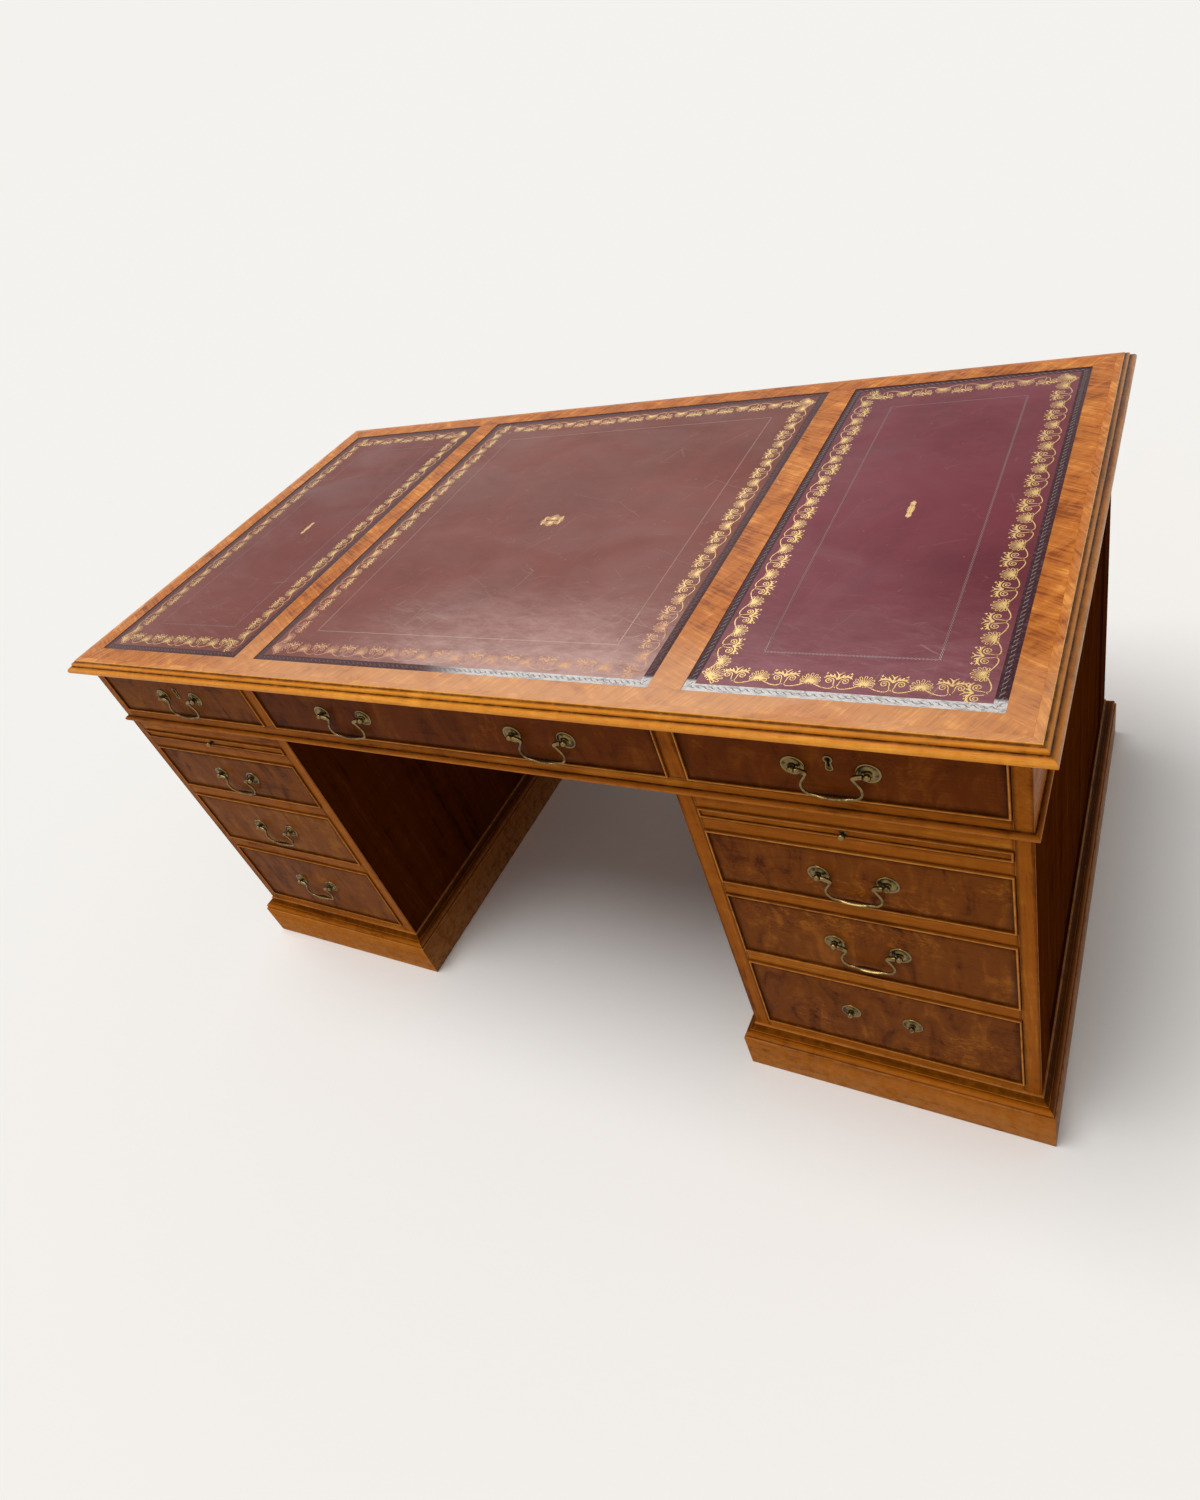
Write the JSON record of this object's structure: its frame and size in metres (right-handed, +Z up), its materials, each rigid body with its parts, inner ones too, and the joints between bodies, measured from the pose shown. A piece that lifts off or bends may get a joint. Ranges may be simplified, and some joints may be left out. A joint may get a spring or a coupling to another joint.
{
  "type": "partners desk",
  "caption": "Traditional pedestal partners desk with leather-lined top, frieze drawers, pedestal drawers with drop handles, writing slides and rear cupboards.",
  "frame": {"origin": "on the floor under the middle of the top", "axes": "+X along the length of the desk, +Y towards the cupboard side, +Z up"},
  "size_m": [1.658, 0.91, 0.798],
  "materials": {
    "yew": "polished",
    "crossbanded_yew": "polished",
    "burr_yew_drawer": "polished",
    "burgundy_leather": "satin",
    "antique_brass": "aged",
    "gilt_tooling": "satin",
    "drawer_lining_wood": "satin"
  },
  "bodies": {
    "desk_frame": {"top_board": "yew", "top_edge_moulding": "yew", "top_veneer_surround": "crossbanded_yew", "leather_panel_left": "burgundy_leather", "leather_panel_centre": "burgundy_leather", "leather_panel_right": "burgundy_leather", "frieze_frame": "yew", "frieze_bead_moulding": "yew", "left_pedestal_carcass": "yew", "right_pedestal_carcass": "yew", "left_pedestal_rails": "yew", "right_pedestal_rails": "yew", "left_plinth": "yew", "right_plinth": "yew", "door_hinges": "antique_brass"},
    "front_frieze_drawer_left": {"front_frieze_drawer_left": "burr_yew_drawer", "front_frieze_fittings_left": "antique_brass"},
    "front_frieze_bail_left": {"front_frieze_bail_left": "antique_brass"},
    "front_frieze_drawer_centre": {"front_frieze_drawer_centre": "burr_yew_drawer", "front_frieze_fittings_centre": "antique_brass"},
    "front_frieze_bail_centre_1": {"front_frieze_bail_centre_1": "antique_brass"},
    "front_frieze_bail_centre_2": {"front_frieze_bail_centre_2": "antique_brass"},
    "front_frieze_drawer_right": {"front_frieze_drawer_right": "burr_yew_drawer", "front_frieze_fittings_right": "antique_brass"},
    "front_frieze_bail_right": {"front_frieze_bail_right": "antique_brass"},
    "rear_frieze_drawer_left": {"rear_frieze_drawer_left": "burr_yew_drawer", "rear_frieze_fittings_left": "antique_brass"},
    "rear_frieze_bail_left": {"rear_frieze_bail_left": "antique_brass"},
    "rear_frieze_drawer_centre": {"rear_frieze_drawer_centre": "burr_yew_drawer", "rear_frieze_fittings_centre": "antique_brass"},
    "rear_frieze_bail_centre_1": {"rear_frieze_bail_centre_1": "antique_brass"},
    "rear_frieze_bail_centre_2": {"rear_frieze_bail_centre_2": "antique_brass"},
    "rear_frieze_drawer_right": {"rear_frieze_drawer_right": "burr_yew_drawer", "rear_frieze_fittings_right": "antique_brass"},
    "rear_frieze_bail_right": {"rear_frieze_bail_right": "antique_brass"},
    "left_drawer_top": {"left_drawer_top": "burr_yew_drawer", "left_fittings_top": "antique_brass"},
    "left_bail_top": {"left_bail_top": "antique_brass"},
    "left_drawer_middle": {"left_drawer_middle": "burr_yew_drawer", "left_fittings_middle": "antique_brass"},
    "left_bail_middle": {"left_bail_middle": "antique_brass"},
    "left_drawer_bottom": {"left_drawer_bottom": "burr_yew_drawer", "left_fittings_bottom": "antique_brass"},
    "left_bail_bottom": {"left_bail_bottom": "antique_brass"},
    "left_slide": {"left_slide": "yew", "left_slide_knob": "antique_brass"},
    "left_cupboard_door": {"left_cupboard_door": "yew", "left_door_fittings": "antique_brass"},
    "right_drawer_top": {"right_drawer_top": "burr_yew_drawer", "right_fittings_top": "antique_brass"},
    "right_bail_top": {"right_bail_top": "antique_brass"},
    "right_drawer_middle": {"right_drawer_middle": "burr_yew_drawer", "right_fittings_middle": "antique_brass"},
    "right_bail_middle": {"right_bail_middle": "antique_brass"},
    "right_drawer_bottom": {"right_drawer_bottom": "burr_yew_drawer", "right_fittings_bottom": "antique_brass"},
    "right_slide": {"right_slide": "yew", "right_slide_knob": "antique_brass"},
    "right_cupboard_door": {"right_cupboard_door": "yew", "right_door_fittings": "antique_brass"}
  },
  "joints": [
    {"name": "front_frieze_drawer_left_slide", "type": "slide", "parent": "desk_frame", "child": "front_frieze_drawer_left", "axis": [0, -1, 0], "range_m": [0, 0.3]},
    {"name": "front_frieze_bail_left_swing", "type": "hinge", "parent": "front_frieze_drawer_left", "child": "front_frieze_bail_left", "pos_m": [-0.5885, -0.4357, 0.7195], "axis": [-1, 0, 0], "range_deg": [0, 95]},
    {"name": "front_frieze_drawer_centre_slide", "type": "slide", "parent": "desk_frame", "child": "front_frieze_drawer_centre", "axis": [0, -1, 0], "range_m": [0, 0.3]},
    {"name": "front_frieze_bail_centre_1_swing", "type": "hinge", "parent": "front_frieze_drawer_centre", "child": "front_frieze_bail_centre_1", "pos_m": [-0.1855, -0.4357, 0.7195], "axis": [-1, 0, 0], "range_deg": [0, 95]},
    {"name": "front_frieze_bail_centre_2_swing", "type": "hinge", "parent": "front_frieze_drawer_centre", "child": "front_frieze_bail_centre_2", "pos_m": [0.1855, -0.4357, 0.7195], "axis": [-1, 0, 0], "range_deg": [0, 95]},
    {"name": "front_frieze_drawer_right_slide", "type": "slide", "parent": "desk_frame", "child": "front_frieze_drawer_right", "axis": [0, -1, 0], "range_m": [0, 0.3]},
    {"name": "front_frieze_bail_right_swing", "type": "hinge", "parent": "front_frieze_drawer_right", "child": "front_frieze_bail_right", "pos_m": [0.5885, -0.4357, 0.7195], "axis": [-1, 0, 0], "range_deg": [0, 95]},
    {"name": "rear_frieze_drawer_left_slide", "type": "slide", "parent": "desk_frame", "child": "rear_frieze_drawer_left", "axis": [0, 1, 0], "range_m": [0, 0.3]},
    {"name": "rear_frieze_bail_left_swing", "type": "hinge", "parent": "rear_frieze_drawer_left", "child": "rear_frieze_bail_left", "pos_m": [0.5885, 0.4357, 0.7195], "axis": [1, 0, 0], "range_deg": [0, 95]},
    {"name": "rear_frieze_drawer_centre_slide", "type": "slide", "parent": "desk_frame", "child": "rear_frieze_drawer_centre", "axis": [0, 1, 0], "range_m": [0, 0.3]},
    {"name": "rear_frieze_bail_centre_1_swing", "type": "hinge", "parent": "rear_frieze_drawer_centre", "child": "rear_frieze_bail_centre_1", "pos_m": [0.1855, 0.4357, 0.7195], "axis": [1, 0, 0], "range_deg": [0, 95]},
    {"name": "rear_frieze_bail_centre_2_swing", "type": "hinge", "parent": "rear_frieze_drawer_centre", "child": "rear_frieze_bail_centre_2", "pos_m": [-0.1855, 0.4357, 0.7195], "axis": [1, 0, 0], "range_deg": [0, 95]},
    {"name": "rear_frieze_drawer_right_slide", "type": "slide", "parent": "desk_frame", "child": "rear_frieze_drawer_right", "axis": [0, 1, 0], "range_m": [0, 0.3]},
    {"name": "rear_frieze_bail_right_swing", "type": "hinge", "parent": "rear_frieze_drawer_right", "child": "rear_frieze_bail_right", "pos_m": [-0.5885, 0.4357, 0.7195], "axis": [1, 0, 0], "range_deg": [0, 95]},
    {"name": "left_drawer_top_slide", "type": "slide", "parent": "desk_frame", "child": "left_drawer_top", "axis": [0, -1, 0], "range_m": [0, 0.3]},
    {"name": "left_bail_top_swing", "type": "hinge", "parent": "left_drawer_top", "child": "left_bail_top", "pos_m": [-0.5885, -0.4357, 0.524], "axis": [-1, 0, 0], "range_deg": [0, 95]},
    {"name": "left_drawer_middle_slide", "type": "slide", "parent": "desk_frame", "child": "left_drawer_middle", "axis": [0, -1, 0], "range_m": [0, 0.3]},
    {"name": "left_bail_middle_swing", "type": "hinge", "parent": "left_drawer_middle", "child": "left_bail_middle", "pos_m": [-0.5885, -0.4357, 0.377], "axis": [-1, 0, 0], "range_deg": [0, 95]},
    {"name": "left_drawer_bottom_slide", "type": "slide", "parent": "desk_frame", "child": "left_drawer_bottom", "axis": [0, -1, 0], "range_m": [0, 0.3]},
    {"name": "left_bail_bottom_swing", "type": "hinge", "parent": "left_drawer_bottom", "child": "left_bail_bottom", "pos_m": [-0.5885, -0.4357, 0.2065], "axis": [-1, 0, 0], "range_deg": [0, 95]},
    {"name": "left_slide_pull", "type": "slide", "parent": "desk_frame", "child": "left_slide", "axis": [0, -1, 0], "range_m": [0, 0.28]},
    {"name": "left_cupboard_door_hinge", "type": "hinge", "parent": "desk_frame", "child": "left_cupboard_door", "pos_m": [-0.77965, 0.4316, 0.37], "axis": [0, 0, 1], "range_deg": [0, 110]},
    {"name": "right_drawer_top_slide", "type": "slide", "parent": "desk_frame", "child": "right_drawer_top", "axis": [0, -1, 0], "range_m": [0, 0.3]},
    {"name": "right_bail_top_swing", "type": "hinge", "parent": "right_drawer_top", "child": "right_bail_top", "pos_m": [0.5885, -0.4357, 0.524], "axis": [-1, 0, 0], "range_deg": [0, 95]},
    {"name": "right_drawer_middle_slide", "type": "slide", "parent": "desk_frame", "child": "right_drawer_middle", "axis": [0, -1, 0], "range_m": [0, 0.3]},
    {"name": "right_bail_middle_swing", "type": "hinge", "parent": "right_drawer_middle", "child": "right_bail_middle", "pos_m": [0.5885, -0.4357, 0.377], "axis": [-1, 0, 0], "range_deg": [0, 95]},
    {"name": "right_drawer_bottom_slide", "type": "slide", "parent": "desk_frame", "child": "right_drawer_bottom", "axis": [0, -1, 0], "range_m": [0, 0.3]},
    {"name": "right_slide_pull", "type": "slide", "parent": "desk_frame", "child": "right_slide", "axis": [0, -1, 0], "range_m": [0, 0.28]},
    {"name": "right_cupboard_door_hinge", "type": "hinge", "parent": "desk_frame", "child": "right_cupboard_door", "pos_m": [0.77965, 0.4316, 0.37], "axis": [0, 0, -1], "range_deg": [0, 110]}
  ]
}
